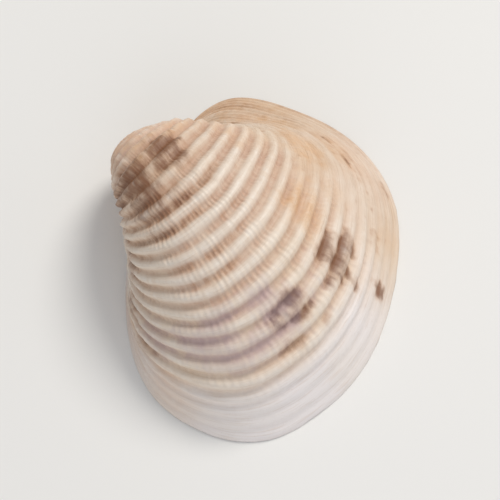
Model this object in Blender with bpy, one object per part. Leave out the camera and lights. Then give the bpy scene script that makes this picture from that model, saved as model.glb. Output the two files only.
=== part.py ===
"""Sea shell: one valve (the right half-shell) of a ribbed venus clam, lying on its rim.

Frame: metres, +Z up, the rim (the plane where the two valves met) on Z = 0 and the outside of
the valve above it. +X points to the clam's front end, -X to its narrower rear end, +Y to the
hinge and the beak. The origin is under the middle of the valve's bounding box.

The outside follows a clam's real growth: every growth line is a smaller copy of the rim, turned
about the hinge axis, so the wall is a logarithmic spiral that ends in the curled beak.
"""

import math

import bmesh
import bpy
import numpy as np
from mathutils import Vector
from mathutils.bvhtree import BVHTree

MM = 0.001

# ---- driving dimensions, in millimetres -------------------------------------------------------
# Rim outline as seen from outside, from the beak forwards, round the lower edge and back.
RIM_STATIONS = [
    (0.0, 0.0), (3.2, -0.7), (6.4, -0.3), (9.6, 0.3), (12.4, -0.2), (14.8, -1.6), (16.6, -4.5),
    (17.7, -8.6), (18.3, -12.6), (18.1, -16.8), (16.6, -21.6), (13.6, -25.9), (9.2, -29.2),
    (3.6, -31.9), (-2.4, -33.7), (-8.4, -34.0), (-14.2, -32.7), (-18.9, -30.2), (-21.6, -26.4),
    (-22.7, -21.6), (-22.3, -16.8), (-19.6, -11.8), (-15.0, -7.4), (-9.6, -3.8), (-4.4, -1.3),
    (0.0, 0.0),
]
HEIGHT = 34.1            # beak to lower edge, the size the growth steps are counted on
COIL = 0.80              # growth: size falls by exp(-COIL * turn in radians) towards the beak
AXIS_TILT = 7.5          # degrees: the hinge axis dips forwards, so the beak curls forwards
AXIS_HEIGHT = 2.3        # the hinge axis runs this far above the rim plane
SHOULDER = 0.9           # swelling of the wall in front of the beak
YOUNG_WIDTH = 1.03       # the young shell was this much wider for its height
WALL = 1.45              # wall thickness between ridges
RIM_WIDTH = 1.5          # flat rim at the lower edge
HINGE_WIDTH = 5.2        # hinge plate, from the beak inwards
HINGE_FRONT, HINGE_REAR = 13.0, 21.0   # how far the hinge plate runs each way along the edge
HINGE_RECESS = 1.0       # hinge plate above the rim plane
RIDGE_HEIGHT = 0.60      # concentric ridges
ESCUTCHEON = 17.0        # smooth patch behind the beak, along the edge
FRONT_SLOPE = 52.0       # the ridges die out on the front slope, this far along the edge
YOUNG_SLOPE = 42.0       # and this far where the shell was young
LAST_GROWTH = 6.0        # and they flatten in the last growth before the rim
FAINT = 0.22             # share of their height that is left there
BOWL_CENTRE = (-4.5, -16.5)      # middle of the hollow
# Hinge teeth: from, to, half width, height
TEETH = [
    ((0.9, -1.9), (4.1, -4.3), 0.42, 0.75),
    ((-0.3, -1.7), (0.3, -5.0), 0.62, 0.85),
    ((-1.5, -1.7), (-6.3, -4.9), 0.60, 0.80),
]

COLUMNS = 80             # points round the rim
RIDGE_FROM = 0.17        # ridges start where the shell was this share of its size


def smooth(a, b, x):
    t = np.clip((x - a) / (b - a), 0.0, 1.0)
    return t * t * (3 - 2 * t)


def natural_spline(points, samples):
    """A cubic through the points, by chord length: positions at `samples` even steps."""
    p = np.array(points, float)
    t = np.concatenate([[0.0], np.cumsum(np.linalg.norm(np.diff(p, axis=0), axis=1))])
    h = np.diff(t)
    n = len(p)
    a = np.zeros((n, n))
    b = np.zeros((n, 2))
    a[0, 0] = a[-1, -1] = 1.0
    for i in range(1, n - 1):
        a[i, i - 1 : i + 2] = h[i - 1], 2 * (h[i - 1] + h[i]), h[i]
        b[i] = 6 * ((p[i + 1] - p[i]) / h[i] - (p[i] - p[i - 1]) / h[i - 1])
    m = np.linalg.solve(a, b)
    x = np.linspace(0.0, t[-1], samples)
    i = np.clip(np.searchsorted(t, x, side="right") - 1, 0, n - 2)
    u, v, hi = (t[i + 1] - x)[:, None], (x - t[i])[:, None], h[i][:, None]
    return (
        m[i] * u**3 / (6 * hi)
        + m[i + 1] * v**3 / (6 * hi)
        + (p[i] / hi - m[i] * hi / 6) * u
        + (p[i + 1] / hi - m[i + 1] * hi / 6) * v
    )


def rim(columns):
    """Points round the rim from the beak, closer together at the hinge, and how far along the
    edge each is from the beak: forwards, and backwards."""
    fine = natural_spline(RIM_STATIONS, 4001)
    along = np.concatenate([[0.0], np.cumsum(np.linalg.norm(np.diff(fine, axis=0), axis=1))])
    total = along[-1]
    density = 1 + 1.6 * np.exp(-((along / 7.0) ** 2)) + 1.2 * np.exp(-(((total - along) / 9.0) ** 2))
    share = np.concatenate([[0.0], np.cumsum((density[1:] + density[:-1]) / 2 * np.diff(along))])
    at = np.interp(np.arange(columns) / columns, share / share[-1], along)
    points = np.stack([np.interp(at, along, fine[:, k]) for k in (0, 1)], axis=1)
    return points, at, total - at


def grown(points, front, size):
    """The growth line of this relative size: the rim, scaled about the coil's end and turned,
    and swollen along the front of the hinge line."""
    turn = -math.log(size) / COIL
    points = points * np.array([YOUNG_WIDTH + (1 - YOUNG_WIDTH) * size**0.5, 1.0])
    tilt = math.radians(AXIS_TILT)
    axis = np.array([math.cos(tilt), -math.sin(tilt), 0.0])
    v = np.column_stack([points, np.full(len(points), -AXIS_HEIGHT)])
    c, s = math.cos(-turn), math.sin(-turn)
    turned = v * c + np.cross(axis, v) * s + np.outer(v @ axis, axis) * (1 - c)
    lip = smooth(2.5, 7.5, front) * (1 - smooth(14.0, 24.0, front))
    swell = SHOULDER * size * lip * (1 - math.exp(-(1 - size) / 0.18))
    turned = turned * size + np.array([0.0, 0.0, AXIS_HEIGHT])
    turned[:, 2] += swell
    return turned


def ridge_sizes():
    """Relative sizes of the ridge crests and of the grooves between them, from the rim inwards."""
    whole = HEIGHT * math.sqrt(1 + COIL**2) / COIL   # length of the spiral along the middle
    crests, grooves, s = [], [0.0], 0.75
    while 1 - s / whole > RIDGE_FROM:
        crests.append(s)
        step = 2.3 - 0.7 * math.exp(-((s / 6.0) ** 2)) - 1.3 * float(smooth(30, 50, s))
        grooves.append(s + step / 2)
        s += step
    return 1 - np.array(crests) / whole, 1 - np.array(grooves) / whole


def outside_rows():
    """(relative size, ridge height share) of each row of the outside, from rim to beak."""
    crests, grooves = ridge_sizes()
    rows = [(1.0, 0.0)]
    for crest, groove in zip(crests, grooves[1:]):
        rows += [(crest, 1.0), (groove, 0.0)]
    last = rows[-1][0]
    for k in range(1, 9):
        rows.append((last * (0.02 / last) ** (k / 8) if k < 8 else 0.02, 0.0))
    return rows


def surface(columns, rows):
    points, front, rear = rim(columns)
    grid = np.array([grown(points, front, size) for size, _ in rows])
    # Outward normals from neighbours round the edge and along the growth.
    around = np.roll(grid, -1, axis=1) - np.roll(grid, 1, axis=1)
    inward = np.empty_like(grid)
    for i, (size, _) in enumerate(rows):
        e = size * 0.002
        inward[i] = grown(points, front, max(size - e, 1e-4)) - grown(points, front, min(size + e, 1.0))
    normal = np.cross(around, inward)
    normal /= np.maximum(np.linalg.norm(normal, axis=2, keepdims=True), 1e-9)
    middle = grid.mean(axis=1, keepdims=True)
    if ((grid - middle - np.array([0, 0, -3.0])) * normal).sum(axis=2).mean() < 0:
        normal = -normal
    return points, front, rear, grid, normal


def ridge_share(front, rear, size):
    """How much of the full ridge height stands here."""
    back = (1 - size) * HEIGHT * math.sqrt(1 + COIL**2) / COIL
    edge = FRONT_SLOPE - (FRONT_SLOPE - YOUNG_SLOPE) * smooth(14, 30, back)
    side = smooth(edge - 8, edge + 3, front) * smooth(0.8 * ESCUTCHEON, 1.3 * ESCUTCHEON, rear)
    late = smooth(0.5 * LAST_GROWTH, 1.4 * LAST_GROWTH, back)
    return (FAINT + (1 - FAINT) * side * late) * smooth(4.0, 9.0, front) * smooth(0.10, 0.34, size)


def hinge_height(xy, across, front, rear):
    """How far the hinge plate stands above the rim plane at these points of the rim band."""
    plate = (1 - smooth(0.15 * HINGE_FRONT, 0.6 * HINGE_FRONT, front)) + (
        1 - smooth(0.6 * HINGE_REAR, 0.95 * HINGE_REAR, rear)
    )
    plate = np.clip(plate, 0, 1)
    z = HINGE_RECESS * plate * smooth(0.12, 0.28, across) * (1 - 0.45 * smooth(0.8, 1.0, across))
    for start, end, half, height in TEETH:
        a, b = np.array(start), np.array(end)
        t = np.clip((xy - a) @ (b - a) / ((b - a) @ (b - a)), 0, 1)
        away = np.linalg.norm(xy - a - t[..., None] * (b - a), axis=-1)
        z = z - height * (1 - smooth(0.35 * half, 1.5 * half, away))
    return np.maximum(z, 0.0) * (across > 0)


def build():
    rows = outside_rows()
    points, front, rear, grid, normal = surface(COLUMNS, rows)
    sizes = np.array([size for size, _ in rows])[:, None]
    lift = np.array([h for _, h in rows])[:, None] * RIDGE_HEIGHT * ridge_share(front, rear, sizes)
    outer = grid + normal * lift[..., None]
    outer[1:, :, 2] = np.maximum(outer[1:, :, 2], 0.12)
    outer[0, :, 2] = 0.0

    # The plain dome, without ridges, that the hollow is measured from.
    fine_rows = [(s, 0.0) for s in np.exp(np.linspace(0.0, math.log(0.02), 90))]
    dome = surface(240, fine_rows)[3]
    n, m = dome.shape[1], dome.shape[0]
    faces = [
        (i * n + j, i * n + (j + 1) % n, (i + 1) * n + (j + 1) % n, (i + 1) * n + j)
        for i in range(m - 1)
        for j in range(n)
    ]
    tree = BVHTree.FromPolygons([Vector(p) for p in dome.reshape(-1, 3)], faces)

    centre = np.array(BOWL_CENTRE)
    towards = centre - points
    towards /= np.linalg.norm(towards, axis=1, keepdims=True)
    width = RIM_WIDTH + (HINGE_WIDTH - RIM_WIDTH) * np.clip(
        (1 - smooth(0, HINGE_FRONT, front)) + (1 - smooth(0, HINGE_REAR, rear)), 0, 1
    )
    inner_rim = points + towards * width[:, None]

    band = []
    for across in (0.12, 0.28, 0.45, 0.63, 0.81, 1.0):
        xy = points + (inner_rim - points) * across
        z = hinge_height(xy, np.full(len(xy), across), front, rear)
        band.append(np.column_stack([xy, z]))

    def hollow(xy):
        hit = tree.ray_cast(Vector((xy[0], xy[1], 80.0)), Vector((0, 0, -1)))
        return hit[0].z - WALL / max(abs(hit[1].z), 0.5)

    edge_z = band[-1][:, 2]
    over = np.array([hollow(p) for p in inner_rim]) - edge_z
    bowl = []
    for rho in (0.985, 0.95, 0.90, 0.82, 0.72, 0.60, 0.46, 0.30, 0.15):
        xy = centre + (inner_rim - centre) * rho
        z = np.array([hollow(p) for p in xy]) - over * rho**9
        z = np.maximum(z, edge_z + 2.4 * (1 - rho))     # under the low front shoulder
        bowl.append(np.column_stack([xy, z]))
    pole = np.array([*centre, hollow(centre)])

    rings = [outer[i] for i in range(len(outer) - 1, -1, -1)] + band + bowl
    tip = outer[-1].mean(axis=0)
    return rings, tip, pole


def to_object(rings, tip, pole):
    everything = np.concatenate(rings)
    low, high = everything.min(axis=0), everything.max(axis=0)
    origin = np.array([(low[0] + high[0]) / 2, (low[1] + high[1]) / 2, 0.0])
    bm = bmesh.new()
    loops = [[bm.verts.new((p - origin) * MM) for p in ring] for ring in rings]
    first, last = bm.verts.new((tip - origin) * MM), bm.verts.new((pole - origin) * MM)
    n = len(loops[0])
    for a, b in zip(loops, loops[1:]):
        for j in range(n):
            bm.faces.new((a[j], a[(j + 1) % n], b[(j + 1) % n], b[j]))
    for j in range(n):
        bm.faces.new((first, loops[0][(j + 1) % n], loops[0][j]))
        bm.faces.new((last, loops[-1][j], loops[-1][(j + 1) % n]))
    bmesh.ops.triangulate(bm, faces=bm.faces)
    bmesh.ops.recalc_face_normals(bm, faces=bm.faces)
    mesh = bpy.data.meshes.new("shell_valve")
    bm.to_mesh(mesh)
    bm.free()
    mesh.shade_smooth()
    mesh.set_sharp_from_angle(angle=math.radians(50))
    valve = bpy.data.objects.new("shell_valve", mesh)
    bpy.context.scene.collection.objects.link(valve)
    return valve


def shell_material():
    material = bpy.data.materials.new("shell")
    material.use_nodes = True
    shader = material.node_tree.nodes["Principled BSDF"]
    shader.inputs["Base Color"].default_value = (0.72, 0.60, 0.47, 1.0)
    shader.inputs["Roughness"].default_value = 0.55
    shader.inputs["Metallic"].default_value = 0.0
    return material


for old in list(bpy.data.objects):
    bpy.data.objects.remove(old)
shell = to_object(*build())
shell.data.materials.append(shell_material())
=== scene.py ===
"""Sea shell: the looks. One valve of a ribbed venus clam, lying on its rim on a pale surface.

The valve is grown again here, finer than the CAD solid and on the same rim: rounded concentric
cords, radial riblets between them, a notched inner edge, hinge teeth and a glossy hollow.
"""

import math

import bpy
import numpy as np
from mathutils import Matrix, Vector
from mathutils.bvhtree import BVHTree


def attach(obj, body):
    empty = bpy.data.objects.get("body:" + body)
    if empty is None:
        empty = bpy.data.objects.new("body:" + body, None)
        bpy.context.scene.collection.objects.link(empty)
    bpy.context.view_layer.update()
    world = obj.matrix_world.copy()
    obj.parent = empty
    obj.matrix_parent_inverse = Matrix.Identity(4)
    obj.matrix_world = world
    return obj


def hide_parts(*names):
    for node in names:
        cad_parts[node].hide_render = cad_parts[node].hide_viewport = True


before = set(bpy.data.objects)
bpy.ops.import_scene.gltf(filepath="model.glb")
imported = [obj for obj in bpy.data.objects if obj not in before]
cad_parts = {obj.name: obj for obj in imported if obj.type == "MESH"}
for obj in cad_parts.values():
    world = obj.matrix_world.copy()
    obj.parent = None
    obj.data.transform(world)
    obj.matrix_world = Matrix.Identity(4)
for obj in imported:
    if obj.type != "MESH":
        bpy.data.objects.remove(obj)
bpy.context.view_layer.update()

MM = 0.001

# ---- the shell's growth, as in the CAD (millimetres, from the beak) ----------------------------
RIM_STATIONS = [
    (0.0, 0.0), (3.2, -0.7), (6.4, -0.3), (9.6, 0.3), (12.4, -0.2), (14.8, -1.6), (16.6, -4.5),
    (17.7, -8.6), (18.3, -12.6), (18.1, -16.8), (16.6, -21.6), (13.6, -25.9), (9.2, -29.2),
    (3.6, -31.9), (-2.4, -33.7), (-8.4, -34.0), (-14.2, -32.7), (-18.9, -30.2), (-21.6, -26.4),
    (-22.7, -21.6), (-22.3, -16.8), (-19.6, -11.8), (-15.0, -7.4), (-9.6, -3.8), (-4.4, -1.3),
    (0.0, 0.0),
]
HEIGHT = 34.1
COIL = 0.80
AXIS_TILT = 7.5
AXIS_HEIGHT = 2.3
YOUNG_WIDTH = 1.03
SHOULDER = 0.9
WHOLE = HEIGHT * math.sqrt(1 + COIL**2) / COIL
WALL = 1.45
RIM_WIDTH = 1.5
HINGE_WIDTH = 5.2
HINGE_FRONT, HINGE_REAR = 13.0, 21.0
HINGE_RECESS = 1.0
RIDGE_HEIGHT = 0.62
ESCUTCHEON = 17.0
FRONT_SLOPE, YOUNG_SLOPE = 52.0, 42.0
LAST_GROWTH = 6.0
FAINT = 0.22
RIDGE_FROM = 0.17
BOWL_CENTRE = np.array((-4.5, -16.5))
TEETH = [
    ((0.9, -1.9), (4.1, -4.3), 0.42, 0.75),
    ((-0.3, -1.7), (0.3, -5.0), 0.62, 0.85),
    ((-1.5, -1.7), (-6.3, -4.9), 0.60, 0.80),
]

RIBLETS = 90             # radial riblets round the ribbed part of the rim
PER_RIBLET = 5           # columns on each
FRONT_COLUMNS, REAR_COLUMNS = 20, 30
FRONT_SMOOTH, REAR_SMOOTH = 9.0, 16.0   # unribbed stretches beside the beak


def smooth(a, b, x):
    t = np.clip((np.asarray(x, float) - a) / (b - a), 0.0, 1.0)
    return t * t * (3 - 2 * t)


# ---- seeded noise ---------------------------------------------------------------------------
def noise(x, y, seed):
    """Smooth value noise in [-1, 1] at unit scale."""
    x, y = np.broadcast_arrays(np.asarray(x, float), np.asarray(y, float))
    i, j = np.floor(x), np.floor(y)
    u, v = x - i, y - j
    u, v = u * u * u * (u * (6 * u - 15) + 10), v * v * v * (v * (6 * v - 15) + 10)

    def corner(a, b):
        h = np.sin(a * 127.1 + b * 311.7 + seed * 74.7) * 43758.5453
        return 2 * (h - np.floor(h)) - 1

    low = corner(i, j) * (1 - u) + corner(i + 1, j) * u
    high = corner(i, j + 1) * (1 - u) + corner(i + 1, j + 1) * u
    return low * (1 - v) + high * v


def cloud(x, y, seed, octaves=3):
    total, share = 0.0, 0.0
    for k in range(octaves):
        total = total + noise(x * 2**k, y * 2**k, seed + 11 * k) / 2**k
        share += 1 / 2**k
    return total / share


# ---- growth surface -------------------------------------------------------------------------
def natural_spline(points, samples):
    p = np.array(points, float)
    t = np.concatenate([[0.0], np.cumsum(np.linalg.norm(np.diff(p, axis=0), axis=1))])
    h = np.diff(t)
    n = len(p)
    a = np.zeros((n, n))
    b = np.zeros((n, 2))
    a[0, 0] = a[-1, -1] = 1.0
    for i in range(1, n - 1):
        a[i, i - 1 : i + 2] = h[i - 1], 2 * (h[i - 1] + h[i]), h[i]
        b[i] = 6 * ((p[i + 1] - p[i]) / h[i] - (p[i] - p[i - 1]) / h[i - 1])
    m = np.linalg.solve(a, b)
    x = np.linspace(0.0, t[-1], samples)
    i = np.clip(np.searchsorted(t, x, side="right") - 1, 0, n - 2)
    u, v, hi = (t[i + 1] - x)[:, None], (x - t[i])[:, None], h[i][:, None]
    return (
        m[i] * u**3 / (6 * hi)
        + m[i + 1] * v**3 / (6 * hi)
        + (p[i] / hi - m[i] * hi / 6) * u
        + (p[i + 1] / hi - m[i + 1] * hi / 6) * v
    )


FINE = natural_spline(RIM_STATIONS, 6001)
ALONG = np.concatenate([[0.0], np.cumsum(np.linalg.norm(np.diff(FINE, axis=0), axis=1))])
ROUND = ALONG[-1]


def edge(along):
    along = np.mod(along, ROUND)
    return np.stack([np.interp(along, ALONG, FINE[:, k]) for k in (0, 1)], axis=-1)


def grown(along, size):
    """The point of the growth line of this relative size, this far along the rim."""
    along, size = np.broadcast_arrays(np.asarray(along, float), np.asarray(size, float))
    turn = np.log(size) / COIL
    p = edge(along)
    v = np.concatenate([p, np.full(p.shape[:-1] + (1,), -AXIS_HEIGHT)], axis=-1)
    v[..., 0] *= YOUNG_WIDTH + (1 - YOUNG_WIDTH) * np.sqrt(size)
    tilt = math.radians(AXIS_TILT)
    axis = np.array([math.cos(tilt), -math.sin(tilt), 0.0])
    c, s = np.cos(turn)[..., None], np.sin(turn)[..., None]
    turned = v * c + np.cross(axis, v) * s + (v @ axis)[..., None] * axis * (1 - c)
    front = np.mod(along, ROUND)
    lip = smooth(2.5, 7.5, front) * (1 - smooth(14.0, 24.0, front))
    turned = turned * size[..., None] + np.array([0.0, 0.0, AXIS_HEIGHT])
    turned[..., 2] += SHOULDER * size * lip * (1 - np.exp(-(1 - size) / 0.18))
    return turned


def ridge_steps():
    """Distances from the rim of the ridge crests and of the grooves round them."""
    crests, grooves, s = [], [0.0], 0.75
    while 1 - s / WHOLE > RIDGE_FROM:
        crests.append(s)
        step = 2.3 - 0.7 * math.exp(-((s / 6.0) ** 2)) - 1.3 * float(smooth(30, 50, s))
        grooves.append(s + step / 2)
        s += step
    return crests, grooves


def columns():
    """Distance along the rim of each column, and its place in the riblets (in riblets)."""
    ribbed = ROUND - FRONT_SMOOTH - REAR_SMOOTH
    n = RIBLETS * PER_RIBLET
    at = [
        np.arange(FRONT_COLUMNS) / FRONT_COLUMNS * FRONT_SMOOTH,
        FRONT_SMOOTH + np.arange(n) / n * ribbed,
        ROUND - REAR_SMOOTH + np.arange(REAR_COLUMNS) / REAR_COLUMNS * REAR_SMOOTH,
    ]
    at = np.concatenate(at)
    return at, (at - FRONT_SMOOTH) / ribbed * RIBLETS


def rows():
    """(distance from the rim, place between this groove and the next) of each outside row."""
    _, grooves = ridge_steps()
    out = []
    for low, high in zip(grooves, grooves[1:]):
        for t in (0.0, 0.14, 0.27, 0.48, 0.70, 0.86):
            out.append((low + (high - low) * t, t))
    last = 1 - grooves[-1] / WHOLE
    for k in range(9):
        out.append((WHOLE * (1 - last * (0.02 / last) ** (k / 8)), 0.0))
    return np.array(out)


def ridge_share(along, rear, s):
    size = 1 - s / WHOLE
    limit = FRONT_SLOPE - (FRONT_SLOPE - YOUNG_SLOPE) * smooth(14, 30, s)
    limit = limit + 2.0 * noise(s / 2.3, 0.5, 61)
    side = smooth(limit - 9, limit + 3, along) * smooth(0.8 * ESCUTCHEON, 1.3 * ESCUTCHEON, rear)
    late = smooth(0.5 * LAST_GROWTH, 1.4 * LAST_GROWTH, s)
    share = (FAINT + (1 - FAINT) * side * late) * smooth(4.0, 9.0, along)
    return share * smooth(0.10, 0.34, size), side * late


AT, RIB = columns()
REAR = ROUND - AT
ROWS = rows()
ribbed_here = smooth(FRONT_SMOOTH - 1, FRONT_SMOOTH + 5, AT) * smooth(REAR_SMOOTH - 1, REAR_SMOOTH + 6, REAR)


def outside():
    s0 = ROWS[:, 0][:, None]
    t = ROWS[:, 1][:, None]
    a0 = AT[None, :]
    # Growth lines wander a little, and riblets with them.
    s = s0 + 0.20 * cloud(a0 / 13, s0 / 7, 3, 2) * smooth(0.5, 4, s0) * smooth(0.98, 0.8, s0 / WHOLE)
    a = a0 + 0.28 * cloud(a0 / 9 + 4, s0 / 5, 5, 2) * smooth(0, 3, s0) * ribbed_here[None, :]
    s = np.clip(s, 0, WHOLE * 0.98)
    size = 1 - s / WHOLE
    p = grown(a, size)
    da = grown(a + 0.15, size) - grown(a - 0.15, size)
    ds = grown(a, np.maximum(size - 0.002 * size, 1e-4)) - grown(a, np.minimum(size + 0.002 * size, 1.0))
    n = np.cross(da, ds)
    n /= np.maximum(np.linalg.norm(n, axis=-1, keepdims=True), 1e-12)
    if (n[:60, :, 2]).mean() < 0:
        n = -n

    share, full = ridge_share(a, ROUND - a, s)
    cord = smooth(0.04, 0.40, t) * (1 - smooth(0.58, 0.96, t))
    cord = cord * np.ones_like(a)
    uneven = 1 + 0.30 * cloud(a / 4.5, s / 1.7, 17, 3)
    lift = RIDGE_HEIGHT * cord * share * uneven
    # Riblets: bars in the grooves, faint beads on the cords, none in the last growth.
    wave = 0.5 + 0.5 * np.cos(2 * np.pi * RIB)[None, :]
    strength = ribbed_here[None, :] * smooth(0.06, 0.4, size) * (0.50 + 1.1 * cloud(a / 2.4, s / 2.0, 29, 3))
    strength = np.clip(strength, 0, 1) * smooth(3.0, 9.0, s) * (1 - 0.65 * smooth(26, 36, s))
    lift = lift + strength * wave * (0.13 * (1 - cord) * (0.35 + 0.65 * full) + 0.045 * cord + 0.02)
    # Pauses in growth, and the slow unevenness of a grown wall.
    for pause, depth, width in ((6.4, 0.16, 0.35), (15.6, 0.10, 0.30), (24.9, 0.10, 0.28)):
        lift = lift - depth * np.exp(-(((s - pause - 0.25 * noise(a / 8, pause, 7)) / width) ** 2))
    lift = lift + 0.10 * cloud(a / 17, s / 9, 41, 3) * smooth(0.5, 5, s) * smooth(0.05, 0.4, size)
    lift = lift + 0.030 * cloud(a / 1.7, s / 1.3, 43, 2) * smooth(0.3, 2, s)
    # Small chips and wear on the cords.
    chips = 0.6 * smooth(0.60, 0.85, noise(a / 1.6, s / 1.1, 71)) * cord * full
    lift = lift - 0.13 * chips
    p = p + n * lift[..., None]

    # The rim: a worn, slightly notched line, flat on the rim plane.
    to_middle = BOWL_CENTRE - p[0, :, :2]
    to_middle /= np.linalg.norm(to_middle, axis=1, keepdims=True)
    wear = 0.06 + 0.05 * cloud(AT / 1.6, 0.3, 83, 3)
    for at, wide, deep in ((44.0, 0.9, 0.35), (57.5, 0.7, 0.25), (71.0, 1.2, 0.30), (86.0, 0.8, 0.28)):
        wear = wear + deep * np.exp(-(((AT - at) / wide) ** 2))
    p[0, :, :2] += to_middle * wear[:, None]
    p[0, :, 2] = 0.0
    p[1:, :, 2] = np.maximum(p[1:, :, 2], np.minimum(0.05 * np.arange(1, len(p)), 0.14)[:, None])
    facts = {
        "cord": cord,
        "full": full,
        "s": s,
        "a": a,
        "rib": wave * strength,
        "chip": chips,
    }
    return p, facts


def hinge_height(xy, across):
    plate = (1 - smooth(0.15 * HINGE_FRONT, 0.6 * HINGE_FRONT, AT)) + (
        1 - smooth(0.6 * HINGE_REAR, 0.95 * HINGE_REAR, REAR)
    )
    plate = np.clip(plate, 0, 1)
    z = HINGE_RECESS * plate * smooth(0.12, 0.28, across) * (1 - 0.45 * smooth(0.8, 1.0, across))
    for start, end, half, height in TEETH:
        a, b = np.array(start), np.array(end)
        t = np.clip((xy - a) @ (b - a) / ((b - a) @ (b - a)), 0, 1)
        away = np.linalg.norm(xy - a - t[..., None] * (b - a), axis=-1)
        z = z - height * (1 - smooth(0.35 * half, 1.5 * half, away))
    # Notches along the inner edge of the rim.
    notched = smooth(16, 24, AT) * smooth(22, 30, REAR)
    notch = (0.5 - 0.5 * np.cos(2 * np.pi * RIB)) * notched * smooth(0.40, 0.75, across)
    return np.maximum(z, 0.0) + 0.34 * notch, plate


def inside(rim_line):
    """Rings from the rim across the flat edge and the hinge plate, then down the hollow."""
    sizes = np.exp(np.linspace(0.0, math.log(0.02), 90))
    around = np.arange(240) / 240 * ROUND
    dome = grown(around[None, :], sizes[:, None])
    m, n = dome.shape[:2]
    faces = [
        (i * n + j, i * n + (j + 1) % n, (i + 1) * n + (j + 1) % n, (i + 1) * n + j)
        for i in range(m - 1)
        for j in range(n)
    ]
    tree = BVHTree.FromPolygons([Vector(v) for v in dome.reshape(-1, 3)], faces)

    points = edge(AT)
    to_middle = BOWL_CENTRE - points
    to_middle /= np.linalg.norm(to_middle, axis=1, keepdims=True)
    width = RIM_WIDTH + (HINGE_WIDTH - RIM_WIDTH) * np.clip(
        (1 - smooth(0, HINGE_FRONT, AT)) + (1 - smooth(0, HINGE_REAR, REAR)), 0, 1
    )
    inner = points + to_middle * width[:, None]
    outer = rim_line[:, :2]

    band, plates = [], None
    for across in (0.10, 0.22, 0.34, 0.46, 0.58, 0.70, 0.82, 0.92, 1.0):
        xy = outer + (inner - outer) * across
        z, plates = hinge_height(xy, across)
        band.append(np.column_stack([xy, z]))

    def hollow(xy):
        hit = tree.ray_cast(Vector((xy[0], xy[1], 80.0)), Vector((0, 0, -1)))
        return hit[0].z - WALL / max(abs(hit[1].z), 0.5)

    over = np.array([hollow(p) for p in inner]) - band[-1][:, 2]
    bowl, rhos = [], []
    for k in range(1, 33):
        rho = 1 - (k / 33) ** 1.5 * 0.985
        xy = BOWL_CENTRE + (inner - BOWL_CENTRE) * rho
        z = np.array([hollow(p) for p in xy]) - over * rho**9
        z = np.maximum(z, band[-1][:, 2] + 2.4 * (1 - rho))
        # Muscle scars, a little below the surface round them.
        front_scar = np.hypot((xy[:, 0] - 12.2) / 2.6, (xy[:, 1] + 13.0) / 4.2)
        rear_scar = np.hypot((xy[:, 0] + 15.6) / 3.0, (xy[:, 1] + 14.0) / 3.8)
        z = z + 0.10 * (1 - smooth(0.8, 1.05, front_scar)) + 0.10 * (1 - smooth(0.8, 1.05, rear_scar))
        z = z + 0.03 * cloud(xy[:, 0] / 5, xy[:, 1] / 5, 19, 2)
        bowl.append(np.column_stack([xy, z]))
        rhos.append(rho)
    centre = np.array([*BOWL_CENTRE, hollow(BOWL_CENTRE)])
    return band, bowl, rhos, centre, plates


def blots(a, s, spots, seed, fray, soft):
    """Frayed patches: (along, from rim, half width, half length, strength) each."""
    total = np.zeros_like(a)
    # Slanting noise, so that no patch edge follows a growth line or a riblet.
    ragged = 1.1 * fray * cloud(a / 1.9 + s / 2.1, s / 1.5 - a / 3.3, seed, 3)
    ragged = ragged + 0.6 * fray * cloud(a / 5 - s / 7, s / 3.2 + a / 9, seed + 3, 2)
    for at, back, wide, long, strength in spots:
        d = np.hypot((a - at) / wide, (s - back) / long) + ragged
        total = 1 - (1 - total) * (1 - strength * (1 - smooth(soft, 1.6, d)))
    return total


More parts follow.
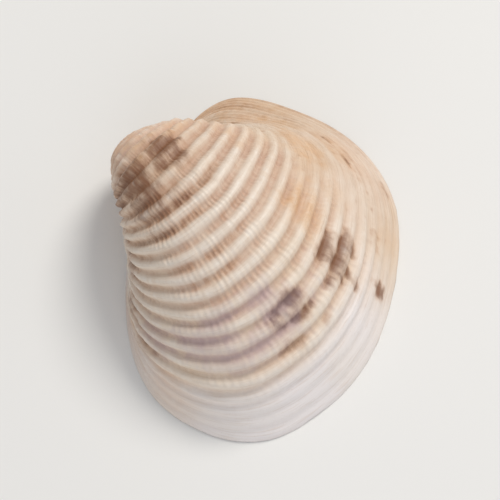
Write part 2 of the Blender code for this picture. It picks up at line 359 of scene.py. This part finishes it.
def paint(facts):
    """Where each colour lies on the outside, each from 0 to 1."""
    a, s, cord, full = facts["a"], facts["s"], facts["cord"], facts["full"]
    groove = 1 - cord
    # Broken brown rays from the beak outwards, darkest in the grooves.
    dark = blots(a, s, [
        (77.8, 35.8, 5.6, 2.5, 0.85), (64, 36.0, 6.0, 1.8, 0.95), (63.5, 33.8, 3.8, 1.4, 0.70),
        (80, 32.0, 5.5, 1.6, 0.75), (90, 35.5, 9.0, 2.6, 0.7), (35, 8.2, 4.0, 2.4, 0.50), (21, 9.0, 9.0, 4.5, 0.26),
        (55.5, 13.3, 3.7, 1.9, 0.95), (53.5, 10.5, 2.8, 1.8, 0.90), (57.4, 10.6, 3.0, 1.6, 0.90),
        (56.6, 7.5, 1.3, 0.9, 0.8), (66.6, 13.2, 2.8, 1.8, 0.92), (70, 12.6, 2.4, 1.7, 0.85),
        (66.3, 10.8, 1.8, 1.1, 0.9), (69.8, 9.4, 2.8, 1.1, 0.70), (64, 8.6, 1.3, 0.7, 0.5),
        (54.3, 2.6, 1.5, 1.15, 1.0), (14, 5.2, 7.0, 3.4, 0.46), (95, 22.0, 3.0, 3.0, 0.7), (97, 13.0, 2.6, 2.4, 0.8),
        (93, 8.5, 2.4, 1.5, 0.6), (101, 29.0, 6.0, 4.0, 0.6),
    ], 91, 0.50, 0.42) * (0.66 + 0.34 * np.maximum(groove, 0.5 * smooth(29, 34, s)))
    streaks = blots(a, s, [
        (74.0, 29.6, 5.5, 2.0, 1.0), (61.4, 29.2, 4.6, 1.3, 0.85), (68, 29.2, 4.6, 1.3, 0.85),
        (75.0, 27.4, 5.0, 1.6, 0.85), (81, 27.2, 6.0, 1.4, 0.7), (70.2, 22.8, 4.6, 1.2, 0.75),
        (73.6, 21.0, 4.6, 1.2, 0.75), (80, 23.4, 5.0, 1.3, 0.7), (84, 20.8, 4.6, 1.4, 0.45),
        (79.5, 19.0, 3.6, 1.1, 0.40), (66, 26.0, 5.0, 1.0, 0.5), (58, 17.4, 2.0, 0.9, 0.5),
        (47, 29.5, 3.5, 1.5, 0.5), (48, 33.5, 5.0, 1.8, 0.6), (90, 27.0, 8.0, 3.0, 0.7),
    ], 131, 0.40, 0.45) * (0.32 + 0.68 * groove)
    # Fine brown flecks on the front slope, along the faint growth lines there.
    fleck = smooth(0.28, 0.75, 0.8 * cloud(a / 1.5, s / 0.8, 101, 2) + 0.75 * cloud(a / 6, s / 5, 103, 2))
    near_front = smooth(10, 22, a) * (1 - smooth(52, 60, a)) * smooth(0.8, 2.0, s)
    fleck = fleck * (1 - 0.8 * full) * near_front
    halo = blots(a, s, [
        (70, 35.0, 15.0, 4.6, 0.72), (80, 30.5, 9.0, 3.0, 0.42), (62, 37.5, 12.0, 3.0, 0.35), (97, 34.0, 14.0, 5.0, 0.38),
    ], 171, 0.40, 0.15)
    dark = 1 - (1 - dark) * (1 - 0.62 * halo)
    lip = (1 - smooth(0.6, 2.6, s)) * smooth(4, 9, a) * (1 - smooth(30, 44, a))
    dark = np.maximum(dark, 0.46 * lip)
    brown = 1 - (1 - dark) * (1 - 0.66 * streaks) * (1 - 0.50 * fleck)

    mauve = blots(a, s, [
        (69.8, 15.3, 2.6, 2.0, 0.85), (69.0, 12.6, 4.2, 2.4, 0.85), (82.3, 14.0, 4.0, 2.0, 0.8),
        (78.5, 16.0, 3.6, 1.3, 0.65), (78.1, 12.8, 3.6, 1.5, 0.7), (81.5, 10.9, 3.2, 1.5, 0.65),
        (75.7, 11.2, 3.0, 1.3, 0.65), (77.1, 9.7, 2.4, 0.9, 0.5), (73.6, 16.5, 3.2, 1.1, 0.5),
        (72.5, 10.4, 3.2, 1.4, 0.5), (90, 12.0, 4.0, 3.2, 0.6), (62, 12.0, 4.5, 3.5, 0.25),
    ], 95, 0.36, 0.45) * (0.50 + 0.50 * groove)

    orange = blots(a, s, [
        (53.0, 18.8, 4.6, 2.6, 1.0), (48.0, 21.5, 3.6, 2.6, 0.30), (54.2, 16.3, 3.6, 1.7, 0.80),
        (38, 18.0, 7.0, 3.4, 0.6), (35.3, 8.0, 5.0, 3.2, 0.50), (23, 15.0, 6.0, 4.5, 0.6),
        (16, 4.0, 9.0, 6.0, 0.40), (47.2, 13.8, 3.5, 2.0, 0.4), (47.5, 3.3, 2.2, 3.0, 0.20),
        (87.5, 4.6, 5.0, 3.0, 0.6), (69, 40.5, 9.0, 3.4, 0.75), (54.5, 37.5, 9.0, 2.2, 0.75),
        (44, 30.0, 6.0, 5.0, 0.6), (100, 6.0, 6.0, 4.0, 0.5), (75, 45.0, 20.0, 4.0, 0.8),
    ], 97, 0.30, 0.25)

    # Tan on the front slope and the young shell, and tan-brown staining in the grooves, lessened on the shaded rear
    # end as painted light.
    limit = FRONT_SLOPE - (FRONT_SLOPE - YOUNG_SLOPE) * smooth(14, 30, s)
    tan = 0.85 * (1 - smooth(limit - 12, limit + 3, a)) * smooth(0.4, 2.0, s)
    tan = np.maximum(tan, 0.95 * smooth(27, 37, s))
    tan = tan * np.clip(0.74 + 0.75 * cloud(a / 4.0, s / 2.6, 107, 3), 0, 1.2)
    worn = blots(a, s, [
        (45.5, 12.5, 6.0, 3.6, 0.85), (38, 6.0, 4.5, 2.4, 0.6), (41, 24.5, 4.0, 3.0, 0.5),
        (50, 7.0, 3.0, 2.4, 0.6), (28, 20.0, 4.0, 3.0, 0.4),
        (48.2, 13.1, 3.6, 3.0, 0.6), (44, 6.0, 4.6, 3.2, 0.7), (51.7, 23.5, 3.6, 2.0, 0.5),
    ], 151, 0.35, 0.2)
    tan = tan * (1 - 0.75 * worn)
    groove_stain_and_painted_light = groove * (0.15 + 0.85 * full) * (0.92 + 0.60 * cloud(a / 5.0, s / 2.4, 109, 3))
    groove_stain_and_painted_light = groove_stain_and_painted_light * (0.30 + 0.70 * smooth(7.0, 17.0, s) + 0.28 * smooth(20, 28, s)) * smooth(2.0, 5.0, s)
    # Painted light: less groove staining on the rear end (about 76 to 110 mm along the rim), which lies in shade, as
    # if lit by light thrown back onto it.
    groove_stain_and_painted_light = groove_stain_and_painted_light * (1 - 0.35 * smooth(76, 86, a) * (1 - smooth(100, 110, a)))
    pale = 1 - smooth(5.0, 9.0, s + 0.9 * cloud(a / 5, s / 3, 113, 2))
    pale = pale * smooth(48, 62, a) * (1 - 0.55 * smooth(80, 92, a) * (1 - smooth(104, 112, a)))
    slope = (1 - full) * smooth(50, 40, a)
    return {
        "brown": brown, "mauve": mauve, "orange": orange * (1 - 0.4 * worn), "tan": tan,
        "groove_stain_and_painted_light": groove_stain_and_painted_light, "pale": pale, "slope": slope,
    }


def build_valve():
    p, facts = outside()
    colours = paint(facts)
    band, bowl, rhos, centre, plate = inside(p[0])
    tip = p[-1].mean(axis=0)

    rings = [p[i] for i in range(len(p) - 1, -1, -1)] + band + bowl
    n = len(AT)
    count = len(rings)
    verts = np.concatenate(rings + [tip[None], centre[None]])

    origin = None
    low, high = verts.min(axis=0), verts.max(axis=0)
    origin = np.array([-2.2031, -15.2126, 0.0])
    verts = (verts - origin) * MM

    def attribute(outer_grid, inner_value=0.0):
        rows_out = [outer_grid[i] for i in range(len(p) - 1, -1, -1)]
        rest = [np.full(n, inner_value)] * (len(band) + len(bowl))
        return np.concatenate(rows_out + rest + [[outer_grid[-1].mean()], [inner_value]])

    values = {k: attribute(v) for k, v in colours.items()}
    values["cord"] = attribute(facts["cord"] * (0.3 + 0.7 * facts["full"]))
    values["rib"] = attribute(facts["rib"])
    values["chip"] = attribute(facts["chip"])
    depth = [np.zeros(n)] * len(p) + [np.full(n, 0.02)] * len(band) + [np.full(n, 1 - r) for r in rhos]
    values["depth"] = np.concatenate(depth + [[0.0], [1.0]])
    values["plate"] = np.concatenate([np.zeros(n)] * len(p) + [plate] * len(band) + [np.zeros(n)] * len(bowl) + [[0.0], [0.0]])

    # Faces, their growth coordinates (which don't wrap) and their place on the texture sheet.
    a_edge = np.append(AT, ROUND) / ROUND
    s_ring = [ROWS[i, 0] / WHOLE for i in range(len(p) - 1, -1, -1)]
    faces, growth, sheet, mats = [], [], [], []
    fold = len(p) - 1
    v_out = [0.02 + 0.58 * (1 - s) for s in s_ring]                     # outside, beak at the bottom
    v_band = [0.625 + 0.055 * k / len(band) for k in range(len(band) + 1)]
    v_bowl = [0.70 + 0.28 * (1 - r) for r in [1.0] + rhos]
    for i in range(count - 1):
        if i < fold:
            va, vb, sa, sb, mat = v_out[i], v_out[i + 1], s_ring[i], s_ring[i + 1], 0
        elif i < fold + len(band):
            k = i - fold
            va, vb, sa, sb, mat = v_band[k], v_band[k + 1], 0.0, 0.0, 1
        else:
            k = i - fold - len(band)
            va, vb, sa, sb, mat = v_bowl[k], v_bowl[k + 1], 0.0, 0.0, 1
        for j in range(n):
            k2 = (j + 1) % n
            faces.append((i * n + j, i * n + k2, (i + 1) * n + k2, (i + 1) * n + j))
            ua, ub = a_edge[j], a_edge[j + 1]
            growth.extend((ua, sa, ub, sa, ub, sb, ua, sb))
            ta, tb = 0.01 + 0.98 * ua, 0.01 + 0.98 * ub
            sheet.extend((ta, va, tb, va, tb, vb, ta, vb))
            mats.append(mat)
    tip_i, centre_i = count * n, count * n + 1
    for j in range(n):
        k2 = (j + 1) % n
        ua, ub = a_edge[j], a_edge[j + 1]
        um = (ua + ub) / 2
        faces.append((tip_i, k2, j))
        growth.extend((um, 0.98, ub, s_ring[0], ua, s_ring[0]))
        sheet.extend((0.01 + 0.98 * um, 0.02, 0.01 + 0.98 * ub, v_out[0], 0.01 + 0.98 * ua, v_out[0]))
        mats.append(0)
        last = (count - 1) * n
        faces.append((centre_i, last + j, last + k2))
        growth.extend((um, 0.0, ua, 0.0, ub, 0.0))
        sheet.extend((0.01 + 0.98 * um, 0.985, 0.01 + 0.98 * ua, v_bowl[-1], 0.01 + 0.98 * ub, v_bowl[-1]))
        mats.append(1)

    mesh = bpy.data.meshes.new("valve")
    mesh.from_pydata(verts.tolist(), [], faces)
    uv = mesh.uv_layers.new(name="growth")
    uv.data.foreach_set("uv", growth)
    uv2 = mesh.uv_layers.new(name="OFBake")
    uv2.data.foreach_set("uv", sheet)
    mesh.polygons.foreach_set("material_index", mats)
    for name, value in values.items():
        layer = mesh.attributes.new(name, "FLOAT", "POINT")
        layer.data.foreach_set("value", np.clip(value, 0.0, 1.0).astype(np.float32))
    mesh.update()
    # Faces look outwards: the dome's must look up on average.
    normals = np.zeros(len(mesh.polygons) * 3)
    mesh.polygons.foreach_get("normal", normals)
    areas = np.zeros(len(mesh.polygons))
    mesh.polygons.foreach_get("area", areas)
    outer_faces = np.array(mats) == 0
    if (normals.reshape(-1, 3)[outer_faces, 2] * areas[outer_faces]).sum() < 0:
        mesh.flip_normals()
    mesh.validate()
    mesh.shade_smooth()
    valve = bpy.data.objects.new("shell_valve_grown", mesh)
    bpy.context.scene.collection.objects.link(valve)
    return valve


# ---- materials ------------------------------------------------------------------------------
class Nodes:
    """A few short words for building a node tree."""

    def __init__(self, name):
        self.material = bpy.data.materials.new(name)
        self.material.use_nodes = True
        self.tree = self.material.node_tree
        self.shader = self.tree.nodes["Principled BSDF"]

    def new(self, kind, **values):
        node = self.tree.nodes.new(kind)
        for key, value in values.items():
            setattr(node, key, value)
        return node

    def link(self, a, b):
        self.tree.links.new(a, b)

    def put(self, socket, value):
        if hasattr(value, "links"):
            self.link(value, socket)
        elif isinstance(value, tuple) and len(value) == 3 and socket.type == "RGBA":
            socket.default_value = (*value, 1.0)
        else:
            socket.default_value = value

    def fact(self, name):
        return self.new("ShaderNodeAttribute", attribute_name=name).outputs["Fac"]

    def math(self, operation, a, b=0.0, c=None, clamp=False):
        node = self.new("ShaderNodeMath", operation=operation, use_clamp=clamp)
        self.put(node.inputs[0], a)
        self.put(node.inputs[1], b)
        if c is not None:
            self.put(node.inputs[2], c)
        return node.outputs[0]

    def mix(self, factor, a, b, blend="MIX"):
        node = self.new("ShaderNodeMix", data_type="RGBA", blend_type=blend)
        self.put(node.inputs[0], factor)
        self.put(node.inputs[6], a)
        self.put(node.inputs[7], b)
        return node.outputs[2]

    def ramp(self, value, low, high, to_low=0.0, to_high=1.0):
        node = self.new("ShaderNodeMapRange", interpolation_type="SMOOTHSTEP")
        self.put(node.inputs[0], value)
        for k, v in enumerate((low, high, to_low, to_high), start=1):
            node.inputs[k].default_value = v
        return node.outputs[0]

    def noise(self, vector, scale, detail=3.0, rough=0.55, distortion=0.0):
        node = self.new("ShaderNodeTexNoise")
        self.link(vector, node.inputs["Vector"])
        node.inputs["Scale"].default_value = scale
        node.inputs["Detail"].default_value = detail
        node.inputs["Roughness"].default_value = rough
        node.inputs["Distortion"].default_value = distortion
        return node.outputs["Fac"]

    def bump(self, height, strength, distance, normal=None):
        node = self.new("ShaderNodeBump")
        node.inputs["Strength"].default_value = strength
        node.inputs["Distance"].default_value = distance
        self.link(height, node.inputs["Height"])
        if normal is not None:
            self.link(normal, node.inputs["Normal"])
        return node.outputs["Normal"]

    def stretch(self, vector, x, y, z=1.0):
        node = self.new("ShaderNodeMapping", vector_type="POINT")
        self.link(vector, node.inputs["Vector"])
        node.inputs["Scale"].default_value = (x, y, z)
        return node.outputs[0]


CREAM = (0.78, 0.648, 0.520)
LIGHT = (0.88, 0.790, 0.690)
TAN = (0.635, 0.450, 0.305)
STAIN = (0.585, 0.388, 0.280)
BROWN = (0.215, 0.084, 0.032)
MAUVE = (0.500, 0.362, 0.362)
ORANGE = (0.72, 0.410, 0.190)
PALE = (0.85, 0.805, 0.795)


def outside_material():
    k = Nodes("shell_outside")
    growth = k.new("ShaderNodeUVMap", uv_map="growth").outputs[0]
    place = k.new("ShaderNodeTexCoord").outputs["Object"]
    # Lines laid down as it grew: long along the growth lines, fine across them.
    lines = k.noise(k.stretch(growth, 26, 260), 1.0, 4, 0.6)
    rays = k.noise(k.stretch(growth, 95, 16), 1.0, 4, 0.65, 0.4)
    cloudy = k.noise(place, 180, 3, 0.6)
    mottle = k.noise(place, 620, 4, 0.62)
    speck = k.noise(place, 1500, 3, 0.65)
    grain = k.noise(place, 4200, 2, 0.6)

    cord = k.fact("cord")
    colour = k.mix(k.ramp(cloudy, 0.35, 0.68), CREAM, (0.75, 0.590, 0.445))
    drift = k.noise(place, 75, 2, 0.5)
    crest = k.math("MULTIPLY", cord, k.ramp(rays, 0.30, 0.70, 0.40, 0.95))
    colour = k.mix(crest, colour, LIGHT)
    bare = k.math("MULTIPLY_ADD", cord, -0.25, 1.0)
    tan = k.math("MULTIPLY", k.math("MULTIPLY", k.fact("tan"), bare), k.ramp(mottle, 0.25, 0.70, 0.55, 1.10), clamp=True)
    colour = k.mix(tan, colour, TAN)
    orange = k.math("MULTIPLY", k.math("MULTIPLY", k.fact("orange"), bare), k.ramp(mottle, 0.30, 0.65, 0.55, 1.05), clamp=True)
    colour = k.mix(orange, colour, ORANGE)
    colour = k.mix(k.math("MULTIPLY", k.fact("pale"), 0.90), colour, PALE)
    # Groove staining, lessened on the shaded rear end as painted light.
    stain_and_painted_light_mix = k.math("MULTIPLY", k.fact("groove_stain_and_painted_light"), k.ramp(mottle, 0.25, 0.70, 0.65, 1.15))
    stain_and_painted_light_mix = k.math("MULTIPLY", stain_and_painted_light_mix, k.ramp(rays, 0.30, 0.68, 0.62, 1.12), clamp=True)
    colour = k.mix(stain_and_painted_light_mix, colour, STAIN)
    grain_lines = k.math("MULTIPLY", k.ramp(lines, 0.48, 0.70), k.math("MULTIPLY_ADD", k.fact("slope"), 0.40, 0.22))
    colour = k.mix(grain_lines, colour, (0.52, 0.340, 0.215))
    colour = k.mix(k.ramp(drift, 0.52, 0.72, 0.0, 0.20), colour, (0.82, 0.660, 0.600))
    colour = k.mix(k.ramp(drift, 0.50, 0.32, 0.0, 0.14), colour, (0.80, 0.665, 0.470))
    broken = k.math("ADD", k.math("MULTIPLY_ADD", mottle, 0.52, -0.26), k.math("MULTIPLY_ADD", rays, 0.60, -0.30))
    mauve = k.ramp(k.math("ADD", k.fact("mauve"), broken), 0.05, 0.95)
    colour = k.mix(k.math("MULTIPLY", mauve, 0.80), colour, MAUVE)
    brown = k.ramp(k.math("ADD", k.fact("brown"), broken), 0.10, 0.98)
    deep = k.mix(k.math("MULTIPLY", mauve, 0.85), BROWN, (0.225, 0.146, 0.144))
    edge_tone = k.mix(k.math("MULTIPLY", mauve, 0.85), (0.50, 0.262, 0.130), (0.42, 0.288, 0.268))
    warm = k.mix(k.ramp(brown, 0.15, 0.95), edge_tone, deep)
    colour = k.mix(k.math("MULTIPLY", brown, 0.92), colour, warm)
    colour = k.mix(k.math("MULTIPLY", k.fact("chip"), 0.4), colour, (0.88, 0.82, 0.74))
    dust = k.math("MULTIPLY", k.ramp(grain, 0.60, 0.80), 0.14)
    colour = k.mix(dust, colour, (0.40, 0.26, 0.17))
    k.link(colour, k.shader.inputs["Base Color"])

    rough = k.math("MULTIPLY_ADD", cloudy, 0.22, 0.40)
    rough = k.math("MULTIPLY_ADD", cord, -0.08, rough)
    k.link(rough, k.shader.inputs["Roughness"])
    k.shader.inputs["Specular IOR Level"].default_value = 0.42
    k.shader.inputs["Subsurface Weight"].default_value = 0.0

    normal = k.bump(lines, 0.45, 0.00012)
    normal = k.bump(speck, 0.30, 0.00010, normal)
    normal = k.bump(grain, 0.25, 0.00005, normal)
    k.link(normal, k.shader.inputs["Normal"])
    return k.material


def inside_material():
    k = Nodes("shell_inside")
    growth = k.new("ShaderNodeUVMap", uv_map="growth").outputs[0]
    place = k.new("ShaderNodeTexCoord").outputs["Object"]
    depth = k.fact("depth")
    cloudy = k.noise(place, 130, 3, 0.55)
    fine = k.noise(place, 900, 3, 0.6)
    streak = k.noise(k.stretch(growth, 60, 2), 1.0, 3, 0.6)
    wander = k.math("MULTIPLY_ADD", cloudy, 0.16, -0.08)
    inner = k.math("ADD", depth, wander)
    colour = k.mix(k.ramp(inner, 0.07, 0.26), (0.84, 0.80, 0.78), (0.78, 0.50, 0.31))
    colour = k.mix(k.ramp(inner, 0.35, 0.95), colour, (0.80, 0.62, 0.46))
    split = k.new("ShaderNodeSeparateXYZ")
    k.link(place, split.inputs[0])
    towards_beak = k.ramp(k.math("MULTIPLY_ADD", cloudy, 0.006, split.outputs[1]), 0.002, 0.013)
    colour = k.mix(k.math("MULTIPLY", towards_beak, k.ramp(inner, 0.04, 0.20)), colour, (0.74, 0.33, 0.12))
    colour = k.mix(k.math("MULTIPLY", k.fact("plate"), 0.85), colour, (0.86, 0.81, 0.75))
    colour = k.mix(k.math("MULTIPLY", k.ramp(streak, 0.55, 0.72), 0.18), colour, (0.93, 0.86, 0.80))
    k.link(colour, k.shader.inputs["Base Color"])
    k.link(k.math("MULTIPLY_ADD", fine, 0.16, 0.16), k.shader.inputs["Roughness"])
    k.shader.inputs["Specular IOR Level"].default_value = 0.55
    k.shader.inputs["Coat Weight"].default_value = 0.25
    k.shader.inputs["Coat Roughness"].default_value = 0.12
    k.link(k.bump(fine, 0.25, 0.00006), k.shader.inputs["Normal"])
    return k.material


valve = build_valve()
valve.data.materials.append(outside_material())
valve.data.materials.append(inside_material())
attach(valve, "root")
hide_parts("shell_valve")


# ---- floor, light and camera ----------------------------------------------------------------
def floor():
    k = Nodes("pale_surface")
    place = k.new("ShaderNodeTexCoord").outputs["Object"]
    soft = k.noise(place, 9, 2, 0.5)
    k.link(k.mix(k.ramp(soft, 0.3, 0.7), (0.835, 0.825, 0.795), (0.855, 0.845, 0.818)), k.shader.inputs["Base Color"])
    k.shader.inputs["Roughness"].default_value = 0.75
    k.shader.inputs["Specular IOR Level"].default_value = 0.2
    mesh = bpy.data.meshes.new("surface")
    r = 1.6
    mesh.from_pydata([(-r, -r, 0), (r, -r, 0), (r, r, 0), (-r, r, 0)], [], [(0, 1, 2, 3)])
    plane = bpy.data.objects.new("surface", mesh)
    plane.location.z = -0.00002
    mesh.materials.append(k.material)
    bpy.context.scene.collection.objects.link(plane)
    return plane


floor()


def area_light(name, at, towards, size, power, colour):
    data = bpy.data.lights.new(name, "AREA")
    data.shape = "DISK"
    data.size = size
    data.energy = power
    data.color = colour
    light = bpy.data.objects.new(name, data)
    light.location = at
    light.rotation_euler = (Vector(towards) - Vector(at)).to_track_quat("-Z", "Y").to_euler()
    bpy.context.scene.collection.objects.link(light)
    return light


area_light("window", (0.43, -0.02, 0.52), (0, 0, 0.004), 0.30, 2.80, (1.0, 0.970, 0.92))
area_light("bounce", (-0.44, -0.36, 0.28), (0, 0, 0.004), 0.60, 1.00, (0.93, 0.95, 1.0))

world = bpy.data.worlds.new("room")
world.use_nodes = True
world.node_tree.nodes["Background"].inputs[0].default_value = (0.94, 0.955, 1.0, 1.0)
world.node_tree.nodes["Background"].inputs[1].default_value = 0.45
bpy.context.scene.world = world
bpy.context.scene.view_settings.view_transform = "Standard"

AZIMUTH, ELEVATION, DISTANCE, LENS = -55.5, 64.2, 0.36, 225.0
target = Vector((0.0003, -0.0005, 0.0035))
az, el = math.radians(AZIMUTH), math.radians(ELEVATION)
back = Vector((math.sin(az) * math.cos(el), -math.cos(az) * math.cos(el), math.sin(el)))
camera = bpy.data.objects.new("camera", bpy.data.cameras.new("camera"))
camera.data.lens = LENS
camera.data.sensor_width = 36.0
camera.data.clip_start = 0.01
camera.location = target + back * DISTANCE
camera.rotation_euler = (-back).to_track_quat("-Z", "Y").to_euler()
bpy.context.scene.collection.objects.link(camera)
bpy.context.scene.camera = camera
